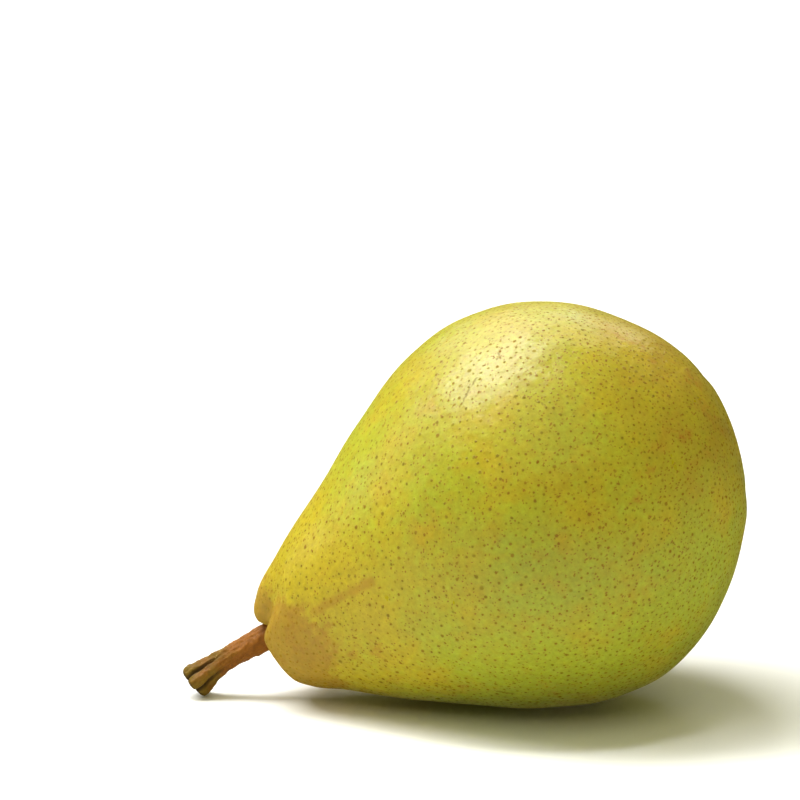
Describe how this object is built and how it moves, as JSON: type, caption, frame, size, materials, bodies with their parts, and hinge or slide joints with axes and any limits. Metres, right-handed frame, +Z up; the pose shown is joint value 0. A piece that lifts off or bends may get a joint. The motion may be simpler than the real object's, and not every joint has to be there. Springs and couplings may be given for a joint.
{
  "type": "pear",
  "caption": "Ripe dessert pear lying on its side: broad belly, tapered neck with soft lobes round a bent woody stem, and a dried calyx in its basin.",
  "frame": {"origin": "centre of the underside of the box round the whole pear, on the surface that it rests on", "axes": "+X along the lying pear from the stem to the blossom end, +Z up; -Y is the side that the picture shows"},
  "size_m": [0.0996, 0.0716, 0.0711],
  "materials": {
    "skin": "satin",
    "stem_wood": "matte",
    "dried_calyx": "matte"
  },
  "bodies": {
    "root": {"fruit": "skin", "stem": "stem_wood", "calyx": "dried_calyx"}
  },
  "joints": []
}
